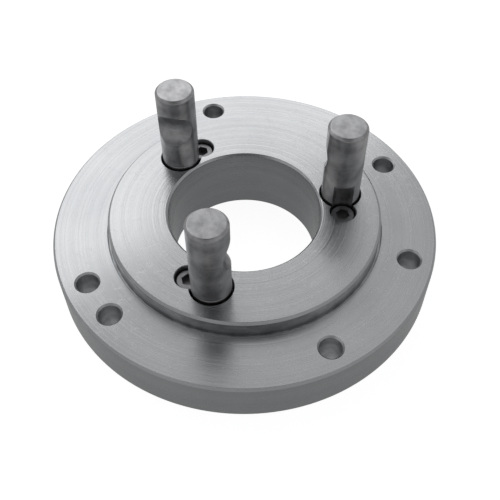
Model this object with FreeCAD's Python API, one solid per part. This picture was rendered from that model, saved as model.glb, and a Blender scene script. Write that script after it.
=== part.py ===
import FreeCAD, Part
import math
import os

# Chuck adapter plate for a size 4 camlock spindle nose, in millimetres.
# The plate lies on its register, the side that the chuck bolts to, and its studs stand up along +Z.
# The origin is the centre of the register's end face.

# Turned plate; the chuck's back rests on the flat ring between the register and the rim
plate_diameter = 160.0
flange_thickness = 19.5
chuck_seat_width = 17.5
register_height = 3.0
boss_diameter = 113.0
boss_height = 7.0
edge_chamfer = 1.0

# Short taper that centres the plate on the spindle nose, and the straight bore below it
taper_mouth_diameter = 63.513
taper_half_angle = 7.125
taper_depth = 8.5
bore_chamfer = 0.8

# Bolt holes for the chuck: three for one kind of chuck and four for the other, on one circle
bolt_hole_rim_distance = 10.0
bolt_hole_diameter = 9.0
bolt_hole_chamfer = 0.7
bolt_hole_groups = {3: -30.0, 4: -45.0}

# Camlock studs, on the spindle's stud circle
stud_count = 3
stud_circle_diameter = 82.6
first_stud_angle = 90.0
stud_diameter = 15.9
stud_foot_step = 0.2
stud_stand = 37.5
stud_sink = 10.0
stud_top_chamfer = 1.0
stud_thread_diameter = 10.0
stud_thread_length = 12.0
stud_neck_depth = 0.8
stud_neck_length = 2.0

# Cam notch of each stud, a scoop across the stud that the spindle's cam pulls on
notch_radius = 8.3
notch_depth = 4.6
notch_drop = 15.8
notch_turn = 125.0

# Socket screw that locks each stud, its head in a groove down the stud's side
screw_stud_distance = 10.3
screw_turn = -100.0
screw_head_diameter = 10.0
screw_head_height = 6.0
screw_head_chamfer = 0.5
screw_head_recess = 2.0
screw_thread_diameter = 6.0
screw_thread_length = 12.0
socket_width = 5.0
socket_depth = 3.0
lock_groove_reach = 11.0

# Clearances
stud_hole_gap = 0.75
stud_seat_gap = 0.3
head_gap = 0.5
thread_gap = 0.05
thread_end_gap = 1.5

# Heights and radii that follow from these
flange_top = register_height + flange_thickness
boss_top = flange_top + boss_height
plate_radius = plate_diameter / 2
boss_radius = boss_diameter / 2
register_radius = plate_radius - chuck_seat_width
bolt_circle_radius = plate_radius - bolt_hole_rim_distance
taper_mouth_radius = taper_mouth_diameter / 2
taper_slope = math.tan(math.radians(taper_half_angle))
bore_radius = taper_mouth_radius - taper_depth * taper_slope
stud_radius = stud_diameter / 2
stud_foot_radius = stud_radius - stud_foot_step
stud_thread_radius = stud_thread_diameter / 2
screw_head_radius = screw_head_diameter / 2
screw_thread_radius = screw_thread_diameter / 2
screw_seat = boss_top - screw_head_recess - screw_head_height
screw_pocket_radius = screw_head_radius + head_gap
stud_angles = [first_stud_angle + 360.0 / stud_count * i for i in range(stud_count)]

UP = FreeCAD.Vector(0, 0, 1)
CENTRE = FreeCAD.Vector(0, 0, 0)


def polar(radius, angle, z=0.0):
    """The point at this radius, angle in degrees and height."""
    turn = math.radians(angle)
    return FreeCAD.Vector(radius * math.cos(turn), radius * math.sin(turn), z)


def turned(outline):
    """A solid of revolution about Z from (radius, height) points."""
    points = [FreeCAD.Vector(radius, 0, z) for radius, z in outline]
    face = Part.Face(Part.makePolygon(points + points[:1]))
    return face.revolve(CENTRE, UP, 360)


def bored(radius, bottom, top, place):
    """The round space of a blind hole, from its floor up to its mouth."""
    return Part.makeCylinder(radius, top - bottom, place + UP * bottom)


def stud_place(angle):
    """Where a stud's axis stands."""
    return polar(stud_circle_diameter / 2, angle)


def screw_place(angle):
    """Where the lock screw of the stud at this angle stands, beside the stud."""
    return stud_place(angle) + polar(screw_stud_distance, angle + screw_turn)


def bolt_hole(angle):
    """A through hole in the flange, chamfered at its mouth on the studs' side."""
    radius = bolt_hole_diameter / 2
    mouth = radius + bolt_hole_chamfer
    outline = [
        (0, register_height - edge_chamfer),
        (radius, register_height - edge_chamfer),
        (radius, flange_top - bolt_hole_chamfer),
        (mouth, flange_top),
        (mouth, flange_top + edge_chamfer),
        (0, flange_top + edge_chamfer),
    ]
    hole = turned(outline)
    hole.translate(polar(bolt_circle_radius, angle))
    return hole


def stud_hole(angle):
    """The stud's pocket and the tapped hole below it."""
    place = stud_place(angle)
    pocket_floor = boss_top - stud_sink - stud_seat_gap
    pocket = bored(stud_radius + stud_hole_gap, pocket_floor, boss_top, place)
    thread_floor = boss_top - stud_sink - stud_thread_length - thread_end_gap
    tapped = bored(stud_thread_radius + thread_gap, thread_floor, boss_top, place)
    return pocket.fuse(tapped)


def screw_hole(angle):
    """The lock screw's pocket, open into the stud's pocket, and its tapped hole."""
    place = screw_place(angle)
    pocket = bored(screw_pocket_radius, screw_seat, boss_top, place)
    thread_floor = screw_seat - screw_thread_length - thread_end_gap
    tapped = bored(screw_thread_radius + thread_gap, thread_floor, boss_top, place)
    return pocket.fuse(tapped)


def plate_blank():
    """The turned plate before its holes: register, flange, boss, taper and bore."""
    outline = [
        (bore_radius + bore_chamfer, 0),
        (register_radius - edge_chamfer, 0),
        (register_radius, edge_chamfer),
        (register_radius, register_height),
        (plate_radius - edge_chamfer, register_height),
        (plate_radius, register_height + edge_chamfer),
        (plate_radius, flange_top - edge_chamfer),
        (plate_radius - edge_chamfer, flange_top),
        (boss_radius, flange_top),
        (boss_radius, boss_top - edge_chamfer),
        (boss_radius - edge_chamfer, boss_top),
        (taper_mouth_radius + bore_chamfer, boss_top),
        (taper_mouth_radius - bore_chamfer * taper_slope, boss_top - bore_chamfer),
        (bore_radius, boss_top - taper_depth),
        (bore_radius, bore_chamfer),
    ]
    return turned(outline)


def adapter_plate():
    """The plate with its bolt holes, stud holes and lock screw holes."""
    holes = []
    for count, turn in bolt_hole_groups.items():
        for i in range(count):
            holes.append(bolt_hole(first_stud_angle + turn + 360.0 / count * i))
    for angle in stud_angles:
        holes.append(stud_hole(angle))
        holes.append(screw_hole(angle))
    plate = plate_blank()
    for hole in holes:
        plate = plate.cut(hole)
    return plate


def cam_notch(angle):
    """The scoop across a stud, square to the way that the notch faces."""
    facing = angle + notch_turn
    reach = stud_radius - notch_depth + notch_radius
    across = polar(1, facing + 90)
    middle = stud_place(angle) + polar(reach, facing) + UP * (boss_top + stud_stand - notch_drop)
    return Part.makeCylinder(notch_radius, stud_diameter * 2, middle - across * stud_diameter, across)


def lock_groove(angle):
    """The groove down a stud's side that the lock screw's head fits in."""
    bottom = boss_top - stud_sink - stud_neck_length
    height = boss_top + lock_groove_reach - bottom
    return Part.makeCylinder(screw_pocket_radius, height, screw_place(angle) + UP * bottom)


def camlock_stud(angle):
    """A stud: body with a cam notch and lock groove, slimmer foot in the pocket, and threaded shank."""
    foot = boss_top - stud_sink
    end = foot - stud_thread_length
    top = boss_top + stud_stand
    neck_radius = stud_thread_radius - stud_neck_depth
    outline = [
        (0, end),
        (neck_radius, end),
        (stud_thread_radius, end + stud_neck_depth),
        (stud_thread_radius, foot - stud_neck_length),
        (neck_radius, foot - stud_neck_length),
        (neck_radius, foot),
        (stud_foot_radius, foot),
        (stud_foot_radius, boss_top),
        (stud_radius, boss_top),
        (stud_radius, top - stud_top_chamfer),
        (stud_radius - stud_top_chamfer, top),
        (0, top),
    ]
    stud = turned(outline)
    stud.translate(stud_place(angle))
    return stud.cut(cam_notch(angle)).cut(lock_groove(angle))


def hex_socket(top):
    """The six-sided key socket."""
    corner = socket_width / math.sqrt(3)
    corners = [polar(corner, 60 * i, top - socket_depth) for i in range(7)]
    return Part.Face(Part.makePolygon(corners)).extrude(UP * socket_depth)


def lock_screw(angle):
    """A socket head screw: head with key socket, and threaded shank."""
    top = screw_seat + screw_head_height
    end = screw_seat - screw_thread_length
    outline = [
        (0, end),
        (screw_thread_radius, end),
        (screw_thread_radius, screw_seat),
        (screw_head_radius, screw_seat),
        (screw_head_radius, top - screw_head_chamfer),
        (screw_head_radius - screw_head_chamfer, top),
        (0, top),
    ]
    screw = turned(outline).cut(hex_socket(top))
    screw.rotate(CENTRE, UP, angle)
    screw.translate(screw_place(angle))
    return screw


os.makedirs("parts", exist_ok=True)
adapter_plate().exportStep("parts/adapter_plate.step")
for letter, angle in zip("abc", stud_angles):
    camlock_stud(angle).exportStep(f"parts/camlock_stud_{letter}.step")
    lock_screw(angle).exportStep(f"parts/lock_screw_{letter}.step")
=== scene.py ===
import math

import bmesh
import bpy
from mathutils import Matrix, Quaternion, Vector


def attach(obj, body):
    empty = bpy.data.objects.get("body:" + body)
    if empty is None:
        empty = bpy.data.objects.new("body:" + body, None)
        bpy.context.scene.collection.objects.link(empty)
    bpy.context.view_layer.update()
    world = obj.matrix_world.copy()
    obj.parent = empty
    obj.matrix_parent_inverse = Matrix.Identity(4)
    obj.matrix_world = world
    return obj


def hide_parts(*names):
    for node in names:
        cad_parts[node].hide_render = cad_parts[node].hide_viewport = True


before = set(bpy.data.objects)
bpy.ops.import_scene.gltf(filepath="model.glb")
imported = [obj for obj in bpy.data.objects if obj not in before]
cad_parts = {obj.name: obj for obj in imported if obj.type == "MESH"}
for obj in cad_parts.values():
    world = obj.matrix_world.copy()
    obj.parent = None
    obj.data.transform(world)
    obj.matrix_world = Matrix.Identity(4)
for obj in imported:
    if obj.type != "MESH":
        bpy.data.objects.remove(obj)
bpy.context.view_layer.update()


# Adapter plate. One disc of steel, turned all over in a lathe, with a raised boss that has a fine
# groove round its foot, a tapered bore and a register underneath. Seven bolt holes go through its
# flange, and three pockets with a smaller one beside each are bored into the boss, in millimetres.
def polar(radius, angle, height=0.0):
    """The point at this radius, angle in degrees and height."""
    turn = math.radians(angle)
    return Vector((radius * math.cos(turn), radius * math.sin(turn), height))


def turned(outline, steps, spacing=1.3):
    """A shell turned about Z from points of radius, height and corner rounding, its walls in rows."""
    shell = bmesh.new()
    corners = [shell.verts.new((radius, 0, height)) for radius, height, rounding in outline]
    shell.faces.new(corners)
    for rounding in sorted({point[2] for point in outline if point[2] > 0}):
        bmesh.ops.bevel(
            shell,
            geom=[corner for corner, point in zip(corners, outline) if point[2] == rounding],
            offset=rounding,
            segments=3,
            profile=0.5,
            affect="VERTICES",
            material=-1,
        )
    bmesh.ops.delete(shell, geom=shell.faces[:], context="FACES_ONLY")
    on_axis = [edge for edge in shell.edges if all(abs(v.co.x) < 1e-6 for v in edge.verts)]
    bmesh.ops.delete(shell, geom=on_axis, context="EDGES")
    for edge in shell.edges[:]:
        rise = abs(edge.verts[0].co.z - edge.verts[1].co.z)
        is_tall_wall = rise > 3 and rise > 0.9 * edge.calc_length()
        if is_tall_wall:
            bmesh.ops.subdivide_edges(shell, edges=[edge], cuts=int(rise / spacing))
    bmesh.ops.spin(
        shell,
        geom=shell.verts[:] + shell.edges[:],
        cent=(0, 0, 0),
        axis=(0, 0, 1),
        angle=2 * math.pi,
        steps=steps,
        use_merge=True,
    )
    bmesh.ops.remove_doubles(shell, verts=shell.verts[:], dist=1e-4)
    bmesh.ops.recalc_face_normals(shell, faces=shell.faces[:])
    return shell


def cylinder(radius, length, sides, place):
    """A closed cylinder or prism about the Z axis of this place, its middle there."""
    shell = bmesh.new()
    bmesh.ops.create_cone(
        shell, cap_ends=True, segments=sides, radius1=radius, radius2=radius, depth=length, matrix=place,
    )
    return shell


def as_object(name, shell, materials=(), finish=0):
    """The shell as an object of the scene, still in millimetres, with one of the materials on its faces."""
    piece = bpy.data.objects.new(name, bpy.data.meshes.new(name))
    shell.to_mesh(piece.data)
    shell.free()
    for material in materials:
        piece.data.materials.append(material)
    for face in piece.data.polygons:
        face.material_index = finish
    bpy.context.collection.objects.link(piece)
    return piece


def settle(piece):
    """Makes what the piece's modifiers show its own mesh."""
    shown = piece.evaluated_get(bpy.context.evaluated_depsgraph_get())
    mesh = bpy.data.meshes.new_from_object(shown)
    mesh.name = piece.name
    piece.modifiers.clear()
    piece.data = mesh


def cut(piece, *tools):
    """Cuts the tools out of the piece one after another and clears them away."""
    for tool in tools:
        boolean = piece.modifiers.new(tool.name, "BOOLEAN")
        boolean.operation = "DIFFERENCE"
        boolean.solver = "EXACT"
        boolean.object = tool
    settle(piece)
    for tool in tools:
        bpy.data.objects.remove(tool)


def break_edges(piece, width):
    """Takes the sharpness off the edges that machining left."""
    bevel = piece.modifiers.new("broken_edges", "BEVEL")
    bevel.limit_method = "ANGLE"
    bevel.angle_limit = math.radians(38)
    bevel.width = width
    bevel.segments = 2
    settle(piece)


def hand_over(piece, slot, *nodes):
    """Clears slivers that the cuts left, brings the piece to metres, keeps its flats flat, and puts
    it in place of its CAD nodes."""
    cleared = bmesh.new()
    cleared.from_mesh(piece.data)
    bmesh.ops.dissolve_degenerate(cleared, dist=1e-3, edges=cleared.edges[:])
    cleared.to_mesh(piece.data)
    cleared.free()
    piece.data.transform(Matrix.Scale(0.001, 4))
    piece.data.shade_smooth()
    piece.data.set_sharp_from_angle(angle=math.radians(28))
    weighted = piece.modifiers.new("flats_stay_flat", "WEIGHTED_NORMAL")
    weighted.keep_sharp = True
    weighted.weight = 100
    settle(piece)
    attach(piece, "root")
    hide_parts(*nodes)


def node(tree, kind, links=(), **settings):
    """A node with its settings, whose inputs take values or other nodes' outputs."""
    made = tree.nodes.new(kind)
    for name, value in settings.items():
        setattr(made, name, value)
    for socket, value in dict(links).items():
        if isinstance(value, bpy.types.NodeSocket):
            tree.links.new(value, made.inputs[socket])
        else:
            made.inputs[socket].default_value = value
    return made


def worked_out(tree, operation, *values):
    """What this operation makes of the values."""
    return node(tree, "ShaderNodeMath", dict(enumerate(values)), operation=operation).outputs[0]


def spread(tree, value, low, high, bottom=0.0, top=1.0):
    """The value, moved from between low and high to between bottom and top, and held there."""
    limits = {"Value": value, "From Min": low, "From Max": high, "To Min": bottom, "To Max": top}
    return node(tree, "ShaderNodeMapRange", limits).outputs[0]


def lathe_marks_group():
    """Rings left by the lathe tool, and the cloudiness of handled steel, from a place on the piece."""
    group = bpy.data.node_groups.new("lathe_marks", "ShaderNodeTree")
    group.interface.new_socket("Place", in_out="INPUT", socket_type="NodeSocketVector")
    group.interface.new_socket("Rings per Metre", in_out="INPUT", socket_type="NodeSocketFloat")
    group.interface.new_socket("Clouds per Metre", in_out="INPUT", socket_type="NodeSocketFloat")
    for name in ("Fine Rings", "Broad Rings", "Clouds", "Scuffs"):
        group.interface.new_socket(name, in_out="OUTPUT", socket_type="NodeSocketFloat")
    come = group.nodes.new("NodeGroupInput")
    go = group.nodes.new("NodeGroupOutput")
    place, rings, clouds = (come.outputs[name] for name in ("Place", "Rings per Metre", "Clouds per Metre"))
    parts = node(group, "ShaderNodeSeparateXYZ", {0: place})
    flat = node(group, "ShaderNodeCombineXYZ", {0: parts.outputs["X"], 1: parts.outputs["Y"]})
    radius = node(group, "ShaderNodeVectorMath", {0: flat.outputs[0]}, operation="LENGTH")
    along = node(group, "ShaderNodeCombineXYZ", {0: radius.outputs["Value"], 1: parts.outputs["Z"]})

    def round_the_axis(scale, detail, roughness):
        """Noise that stays the same all the way round."""
        links = {"Vector": along.outputs[0], "Scale": scale, "Detail": detail, "Roughness": roughness}
        return node(group, "ShaderNodeTexNoise", links, noise_dimensions="2D").outputs["Fac"]

    def over_the_piece(scale, detail, roughness, distortion):
        """Noise that goes its own way over the whole piece."""
        links = {
            "Vector": place, "Scale": scale, "Detail": detail,
            "Roughness": roughness, "Distortion": distortion,
        }
        return node(group, "ShaderNodeTexNoise", links).outputs["Fac"]

    broad_share, scuffs_per_cloud = 0.17, 9.0
    scuffs = over_the_piece(worked_out(group, "MULTIPLY", clouds, scuffs_per_cloud), 6.0, 0.75, 1.2)
    for name, value in (
        ("Fine Rings", round_the_axis(rings, 2.0, 0.7)),
        ("Broad Rings", round_the_axis(worked_out(group, "MULTIPLY", rings, broad_share), 1.0, 0.5)),
        ("Clouds", over_the_piece(clouds, 4.0, 0.6, 0.0)),
        ("Scuffs", spread(group, scuffs, 0.56, 0.74)),
    ):
        group.links.new(value, go.inputs[name])
    return group


lathe_marks = lathe_marks_group()


def machined_steel(
    name, bright, dull, walls, roughness, anisotropy, rings, clouds, relief, softness=0.15, centre=(0, 0),
):
    """Steel that a tool went round: bright and dull tones, how much of them its upright walls keep under
    painted shade, lifted by wear and painted highlight on sharp edges, marks round the piece's centre, and
    how softly its stains fade."""
    material = bpy.data.materials.new(name)
    material.use_nodes = True
    tree = material.node_tree
    tree.nodes.clear()
    place = node(tree, "ShaderNodeTexCoord").outputs["Object"]
    centred = node(tree, "ShaderNodeMapping", {"Vector": place, "Location": (-centre[0], -centre[1], 0)})
    marks = node(tree, "ShaderNodeGroup", node_tree=lathe_marks)
    tree.links.new(centred.outputs[0], marks.inputs["Place"])
    marks.inputs["Rings per Metre"].default_value = rings
    marks.inputs["Clouds per Metre"].default_value = clouds
    fine_rings, scuffs = marks.outputs["Fine Rings"], marks.outputs["Scuffs"]

    stain_share, band_share, scuff_brightness = 0.6, 0.4, -0.45
    stained = spread(tree, marks.outputs["Clouds"], 0.5 - softness, 0.5 + softness)
    banded = spread(tree, marks.outputs["Broad Rings"], 0.3, 0.7)
    stains = worked_out(tree, "MULTIPLY", stained, stain_share)
    tone = worked_out(tree, "MULTIPLY_ADD", banded, band_share, stains)
    rubbed = worked_out(tree, "MULTIPLY_ADD", scuffs, scuff_brightness, tone)
    colour = node(tree, "ShaderNodeMix", {0: rubbed}, data_type="RGBA")
    colour.inputs[6].default_value = (*bright, 1)
    colour.inputs[7].default_value = (*dull, 1)

    surface = node(tree, "ShaderNodeNewGeometry")
    lean = node(tree, "ShaderNodeSeparateXYZ", {0: surface.outputs["Normal"]})
    # Painted shade: upright walls are given a darker colour than the flats, by how far the surface leans from
    # level.
    painted_wall_shade = spread(tree, worked_out(tree, "ABSOLUTE", lean.outputs["Z"]), 0.3, 0.95, walls)
    # Wear and painted highlight: sharp outer edges are lifted back towards full brightness.
    wear_and_painted_edge_highlight = spread(tree, surface.outputs["Pointiness"], 0.53, 0.62, 0.0, 0.9)
    # Painted shade: hollow corners, creases and grooves are darkened.
    painted_crease_shade = spread(tree, surface.outputs["Pointiness"], 0.4, 0.485, 0.8)
    shown = worked_out(tree, "MULTIPLY", worked_out(tree, "MAXIMUM", painted_wall_shade, wear_and_painted_edge_highlight), painted_crease_shade)
    toned = node(tree, "ShaderNodeVectorMath", {0: colour.outputs[2]}, operation="SCALE")
    tree.links.new(shown, toned.inputs["Scale"])

    scuff_roughness, scuff_height = 0.09, -0.25
    ringed = spread(tree, fine_rings, 0.25, 0.75, roughness - 0.05, roughness + 0.06)
    height = worked_out(tree, "MULTIPLY_ADD", scuffs, scuff_height, fine_rings)
    bump = node(tree, "ShaderNodeBump", {"Height": height, "Strength": relief, "Distance": 0.0001})
    tangent = node(tree, "ShaderNodeTangent", direction_type="RADIAL", axis="Z")
    shader = node(
        tree,
        "ShaderNodeBsdfPrincipled",
        {
            "Base Color": toned.outputs[0],
            "Metallic": 1.0,
            "Roughness": worked_out(tree, "MULTIPLY_ADD", scuffs, scuff_roughness, ringed),
            "Anisotropic": anisotropy,
            "Anisotropic Rotation": 0.25,
            "Normal": bump.outputs[0],
            "Tangent": tangent.outputs[0],
        },
    )
    node(tree, "ShaderNodeOutputMaterial", {"Surface": shader.outputs[0]})
    return material


plate_radius, register_radius, boss_radius = 80.0, 62.5, 56.5
register_height, flange_top, boss_top = 3.0, 22.5, 29.5
groove_floor = flange_top - 1.0
plate_outline = [
    (31.5, 0.0, 0.15),
    (register_radius - 1.0, 0.0, 0.15),
    (register_radius, 1.0, 0.15),
    (register_radius, register_height, 0.0),
    (plate_radius - 1.0, register_height, 0.15),
    (plate_radius, register_height + 1.0, 0.15),
    (plate_radius, flange_top - 1.0, 0.2),
    (plate_radius - 1.0, flange_top, 0.06),
    (58.3, flange_top, 0.0),
    (57.5, flange_top, 0.08),
    (57.4, groove_floor, 0.25),
    (boss_radius, groove_floor, 0.25),
    (boss_radius, boss_top - 1.0, 0.2),
    (boss_radius - 1.0, boss_top, 0.06),
    (32.55, boss_top, 0.15),
    (31.656, 28.7, 0.1),
    (30.694, 21.0, 0.0),
    (30.694, 0.8, 0.1),
]
bolt_circle, bolt_angles = 70, [60, 180, 300, 45, 135, 225, 315]
bolt_hole_radius, bolt_mouth_radius = 4.5, 5.2
bolt_hole_outline = [
    (0, 2.0, 0),
    (4.9, 2.0, 0),
    (4.9, register_height, 0),
    (bolt_hole_radius, 3.4, 0),
    (bolt_hole_radius, 21.8, 0),
    (bolt_mouth_radius, flange_top, 0),
    (bolt_mouth_radius, flange_top + 1.5, 0),
    (0, flange_top + 1.5, 0),
]
stud_circle, stud_angles = 41.3, {"a": 90, "b": 210, "c": 330}
screw_distance, screw_turn = 10.3, -100


def pocket_outline(radius, floor, tapped_radius, tapped_floor):
    """A drill's outline: a pocket with a broken edge at the boss's face, and the tapped hole below it."""
    return [
        (0, tapped_floor, 0),
        (tapped_radius, tapped_floor, 0),
        (tapped_radius, floor, 0),
        (radius, floor, 0),
        (radius, boss_top - 0.25, 0),
        (radius + 0.25, boss_top, 0),
        (radius + 0.25, boss_top + 1.5, 0),
        (0, boss_top + 1.5, 0),
    ]


def stand(angle):
    """Carries a piece made on the axis to the stud at this angle, turned with it."""
    return Matrix.Translation(polar(stud_circle, angle)) @ Matrix.Rotation(math.radians(angle), 4, "Z")


def beside(angle):
    """The same for the lock screw beside that stud."""
    return stand(angle) @ Matrix.Translation(polar(screw_distance, screw_turn))


# A small turn that keeps the edges of shapes that cut each other from falling on one line.
off_line = Matrix.Rotation(math.radians(1.7), 4, "Z")


def drill(name, outline, places, materials):
    """One shell that holds a drill's shape at each place and leaves the second finish on its walls."""
    tool = bmesh.new()
    for place in places:
        single = turned(outline, 64)
        bmesh.ops.transform(single, matrix=place @ off_line, verts=single.verts[:])
        mesh = bpy.data.meshes.new(name)
        single.to_mesh(mesh)
        single.free()
        tool.from_mesh(mesh)
        bpy.data.meshes.remove(mesh)
    return as_object(name, tool, materials, 1)


def on_boss_wall(place):
    """Whether this place is on the boss's wall, below its chamfer, or in the groove at its foot."""
    return 56 < place.xy.length < 57.6 and 21 < place.z < 28.45


# The walls values set the painted shade on upright walls; 1.0 leaves them unshaded.
plate_steels = [
    machined_steel(
        "turned_plate_steel", bright=(0.64, 0.65, 0.66), dull=(0.55, 0.56, 0.575), walls=0.58,
        roughness=0.24, anisotropy=0.6, rings=1500, clouds=26, relief=0.3,
    ),
    machined_steel(
        "bored_plate_steel", bright=(0.68, 0.69, 0.7), dull=(0.36, 0.37, 0.38), walls=1.0,
        roughness=0.38, anisotropy=0.0, rings=1500, clouds=180, relief=0.5,
    ),
]
plate = as_object("adapter_plate_turned", turned(plate_outline, 320), plate_steels)
for face in plate.data.polygons:
    if on_boss_wall(face.center):
        face.material_index = 1
for_bolts = [Matrix.Translation(polar(bolt_circle, angle)) for angle in bolt_angles]
for_studs = [stand(angle) for angle in stud_angles.values()]
for_screws = [beside(angle) for angle in stud_angles.values()]
cut(
    plate,
    drill("bolt_holes", bolt_hole_outline, for_bolts, plate_steels),
    drill("stud_pockets", pocket_outline(8.7, 19.2, 5.05, 6.0), for_studs, plate_steels),
    drill("screw_pockets", pocket_outline(5.5, 21.5, 3.05, 8.0), for_screws, plate_steels),
)
hand_over(plate, "plate_steel", "adapter_plate")


# Camlock studs. Hardened steel pins, ground round, each screwed into the plate by a threaded shank.
# A scoop across the side is where the spindle's cam pulls, and a groove lower down takes the head of
# the lock screw. A fine ring shows how deep the stud is screwed in.
stud_radius, stud_top, ring_depth = 7.95, 67.0, 0.15
stud_outline = [
    (0, 16.0, 0),
    (4.2, 16.0, 0),
    (4.2, 19.5, 0),
    (7.75, 19.5, 0.3),
    (7.75, boss_top, 0),
    (stud_radius, 29.6, 0),
    (stud_radius, 30.6, 0),
    (stud_radius - ring_depth, 30.75, 0),
    (stud_radius - ring_depth, 30.85, 0),
    (stud_radius, 31.0, 0),
    (stud_radius, stud_top - 1.0, 0.25),
    (stud_radius - 1.0, stud_top, 0.25),
    (0, stud_top, 0),
]
notch_radius, notch_depth, notch_height, notch_turn = 8.3, 4.6, 51.2, 125
groove_radius, groove_top, groove_length = 5.5, 40.5, 30


def add_thread(piece, radius, pitch, bottom, top):
    """Adds a screw thread to the piece: one tooth carried round and up, and cut off level at both ends."""
    root = radius - 0.61 * pitch
    tooth = [(root, 0), (radius, 0.31), (radius, 0.44), (root, 0.75), (root, 1)]
    thread = bmesh.new()
    start = [thread.verts.new((reach, 0, bottom + pitch * (rise - 1))) for reach, rise in tooth]
    for pair in zip(start, start[1:]):
        thread.edges.new(pair)
    turns = math.ceil((top - bottom) / pitch) + 1
    bmesh.ops.spin(
        thread, geom=thread.verts[:] + thread.edges[:], cent=(0, 0, 0), axis=(0, 0, 1),
        dvec=(0, 0, pitch / 40), angle=2 * math.pi * turns, steps=40 * turns,
    )
    bmesh.ops.remove_doubles(thread, verts=thread.verts[:], dist=1e-3)
    for height, way in ((bottom, -1), (top, 1)):
        sliced = bmesh.ops.bisect_plane(
            thread, geom=thread.verts[:] + thread.edges[:] + thread.faces[:], dist=1e-5,
            plane_co=(0, 0, height), plane_no=(0, 0, way), clear_outer=True,
        )
        rim = [part for part in sliced["geom_cut"] if isinstance(part, bmesh.types.BMEdge)]
        bmesh.ops.contextual_create(thread, geom=rim)
    for corner in thread.verts:
        allowed = root - 0.2 + corner.co.z - bottom
        if corner.co.xy.length > allowed:
            corner.co.xy *= allowed / corner.co.xy.length
    bmesh.ops.recalc_face_normals(thread, faces=thread.faces[:])
    thread.from_mesh(piece.data)
    thread.to_mesh(piece.data)
    thread.free()


for letter, angle in stud_angles.items():
    middle = stand(angle).translation / 1000
    steels = [
        machined_steel(
            f"ground_stud_steel_{letter}", bright=(0.61, 0.61, 0.62), dull=(0.28, 0.28, 0.29), walls=0.8,
            roughness=0.32, anisotropy=0.4, rings=900, clouds=150, relief=0.3, softness=0.12,
            centre=(middle.x, middle.y),
        )
    ]
    body = as_object(f"camlock_stud_{letter}_ground", turned(stud_outline, 96, 0.6), steels)
    scoop = cylinder(
        notch_radius, 32, 160,
        Matrix.Translation(polar(stud_radius - notch_depth + notch_radius, notch_turn, notch_height))
        @ Matrix.Rotation(math.radians(notch_turn), 4, "Z")
        @ Matrix.Rotation(math.pi / 2, 4, "X"),
    )
    groove_middle = polar(screw_distance, screw_turn, groove_top - groove_length / 2)
    groove = cylinder(groove_radius, groove_length, 96, Matrix.Translation(groove_middle))
    cut(body, as_object("scoop", scoop, steels), as_object("groove", groove, steels))
    break_edges(body, 0.15)
    add_thread(body, radius=5.0, pitch=1.5, bottom=7.5, top=17.5)
    body.data.transform(stand(angle))
    hand_over(body, "stud_steel", f"camlock_stud_{letter}")


# Lock screws. Socket head screws of blackened steel, one beside each stud, screwed down below the
# boss face so that the head sits in the stud's groove and keeps the stud from turning.
screw_head_radius, screw_seat, screw_head_top = 5.0, 21.5, 27.5
screw_outline = [
    (0, 20.9, 0),
    (2.39, 20.9, 0),
    (2.39, screw_seat, 0),
    (4.6, screw_seat, 0),
    (screw_head_radius, 21.9, 0),
    (screw_head_radius, 22.3, 0),
    (screw_head_radius, 26.9, 0.2),
    (4.6, screw_head_top, 0.2),
    (0, screw_head_top, 0),
]
knurl_angle, knurl_share = 5, 0.97

for letter, angle in stud_angles.items():
    middle = beside(angle).translation / 1000
    steels = [
        machined_steel(
            f"blackened_screw_steel_{letter}", bright=(0.34, 0.34, 0.35), dull=(0.18, 0.18, 0.19), walls=0.88,
            roughness=0.36, anisotropy=0.0, rings=700, clouds=120, relief=0.2, softness=0.1,
            centre=(middle.x, middle.y),
        )
    ]
    head = turned(screw_outline, 72)
    for corner in head.verts:
        if corner.co.xy.length > 4.9 and 22 < corner.co.z < 26.85:
            groove_number = round(math.atan2(corner.co.y, corner.co.x) / math.radians(knurl_angle))
            corner.co.xy *= knurl_share if groove_number % 2 else 1
    bmesh.ops.transform(head, matrix=off_line, verts=head.verts[:])
    screw = as_object(f"lock_screw_{letter}_blackened", head, steels)
    socket = cylinder(2.887, 4, 6, Matrix.Translation((0, 0, screw_head_top - 1)))
    cut(screw, as_object("socket", socket, steels))
    break_edges(screw, 0.08)
    add_thread(screw, radius=3.0, pitch=1.0, bottom=9.5, top=21.1)
    screw.data.transform(beside(angle))
    hand_over(screw, "screw_steel", f"lock_screw_{letter}")


# Studio. The plate lies on its register on a plain pale table that runs up into a backdrop all
# round, under a grey room that is darker above the camera, with one large soft lamp up behind on
# the left.
floor_edge, cove_radius, backdrop_top = 4, 1.5, 3.5
cove = [
    (
        floor_edge + cove_radius * math.sin(math.radians(turn)),
        cove_radius - cove_radius * math.cos(math.radians(turn)),
    )
    for turn in range(0, 91, 10)
]
sweep = bmesh.new()
profile = [
    sweep.verts.new((reach, 0, rise))
    for reach, rise in [(0, 0), (1, 0), *cove, (floor_edge + cove_radius, backdrop_top)]
]
for pair in zip(profile, profile[1:]):
    sweep.edges.new(pair)
bmesh.ops.spin(
    sweep, geom=sweep.verts[:] + sweep.edges[:], cent=(0, 0, 0), axis=(0, 0, 1),
    angle=2 * math.pi, steps=96, use_merge=True,
)
bmesh.ops.remove_doubles(sweep, verts=sweep.verts[:], dist=1e-4)
bmesh.ops.recalc_face_normals(sweep, faces=sweep.faces[:])
floor = as_object("table", sweep)
floor.data.shade_smooth()
white_added, share_in_metal = 0.91, 0.33
pale = bpy.data.materials.new("pale_table")
pale.use_nodes = True
tree = pale.node_tree
tree.nodes.clear()
ray = node(tree, "ShaderNodeLightPath")
mirrored = worked_out(tree, "ADD", ray.outputs["Is Glossy Ray"], ray.outputs["Is Transmission Ray"])
seen = worked_out(tree, "MULTIPLY_ADD", mirrored, share_in_metal, ray.outputs["Is Camera Ray"])
lift = worked_out(tree, "MULTIPLY", seen, white_added)
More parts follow.
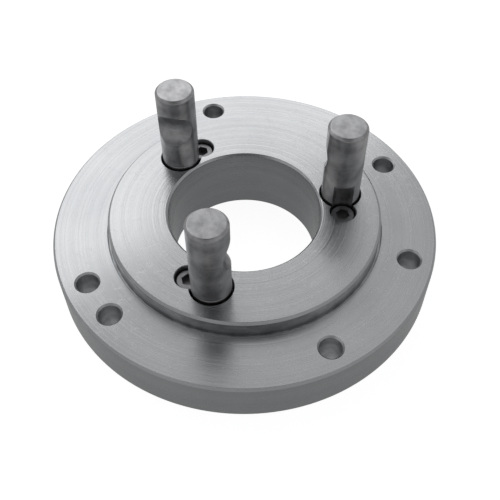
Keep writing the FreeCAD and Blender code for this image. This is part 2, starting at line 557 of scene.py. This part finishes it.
cloth = node(tree, "ShaderNodeBsdfDiffuse", {"Color": (0.4, 0.4, 0.4, 1)})
glow = node(tree, "ShaderNodeEmission", {"Color": (1, 1, 1, 1), "Strength": lift})
both = node(tree, "ShaderNodeAddShader", {0: cloth.outputs[0], 1: glow.outputs[0]})
node(tree, "ShaderNodeOutputMaterial", {"Surface": both.outputs[0]})
floor.data.materials.append(pale)


def toward(turn, rise):
    """The direction at this angle round and this angle above the table, both in degrees."""
    return polar(math.cos(math.radians(rise)), turn, math.sin(math.radians(rise)))


camera_turn, camera_rise, camera_reach = 107.8, 51.94, 0.3308
toward_camera = toward(camera_turn, camera_rise)

room_light, light_above_camera = 0.49, 0.07
world = bpy.data.worlds.new("grey_room")
world.use_nodes = True
tree = world.node_tree
tree.nodes.clear()
looking = node(tree, "ShaderNodeTexCoord")
facing = node(
    tree, "ShaderNodeVectorMath", {0: looking.outputs["Generated"], 1: tuple(toward(camera_turn, 68))},
    operation="DOT_PRODUCT",
)
level = node(
    tree, "ShaderNodeMapRange",
    {
        "Value": facing.outputs["Value"], "From Min": 0.83, "From Max": 0.955,
        "To Min": room_light, "To Max": light_above_camera,
    },
    interpolation_type="SMOOTHSTEP",
)
sky = node(tree, "ShaderNodeBackground", {"Strength": level.outputs[0], "Color": (0.985, 0.995, 1.0, 1)})
node(tree, "ShaderNodeOutputWorld", {"Surface": sky.outputs[0]})
bpy.context.scene.world = world

# The lamp's near edge is where the flats mirror it across their middle in the camera's view.
lamp_height, camera_above_flats = 0.8, 0.241
mirrored_reach = camera_reach * lamp_height / camera_above_flats
edge_middle = Vector((-toward_camera.x, -toward_camera.y, 0)) * mirrored_reach
edge_shift, edge_turn = 0.026, -38.7
lamp = bpy.data.lights.new("soft_lamp", "AREA")
lamp.shape = "RECTANGLE"
lamp.size, lamp.size_y = 1.3, 2.4
lamp.energy = 8.6
softbox = bpy.data.objects.new("soft_lamp", lamp)
softbox.matrix_world = (
    Matrix.Translation(edge_middle + polar(edge_shift + lamp.size / 2, edge_turn, lamp_height))
    @ Matrix.Rotation(math.radians(edge_turn), 4, "Z")
)
softbox.visible_camera = False
bpy.context.collection.objects.link(softbox)

lens = bpy.data.cameras.new("camera")
lens.lens = 53.83
lens.sensor_width = 36
lens.clip_start, lens.clip_end = 0.01, 20
camera = bpy.data.objects.new("camera", lens)
bpy.context.collection.objects.link(camera)
turn = (-toward_camera).to_track_quat("-Z", "Y")
right, up = turn @ Vector((1, 0, 0)), turn @ Vector((0, 1, 0))
aim, shift_right, shift_down, roll = Vector((0, 0, 0.003)), 0.00221, 0.00075, -0.376
camera.rotation_mode = "QUATERNION"
camera.rotation_quaternion = turn @ Quaternion((0, 0, 1), math.radians(roll))
camera.location = aim + toward_camera * camera_reach + right * shift_right - up * shift_down
bpy.context.scene.camera = camera
bpy.context.scene.view_settings.view_transform = "Standard"
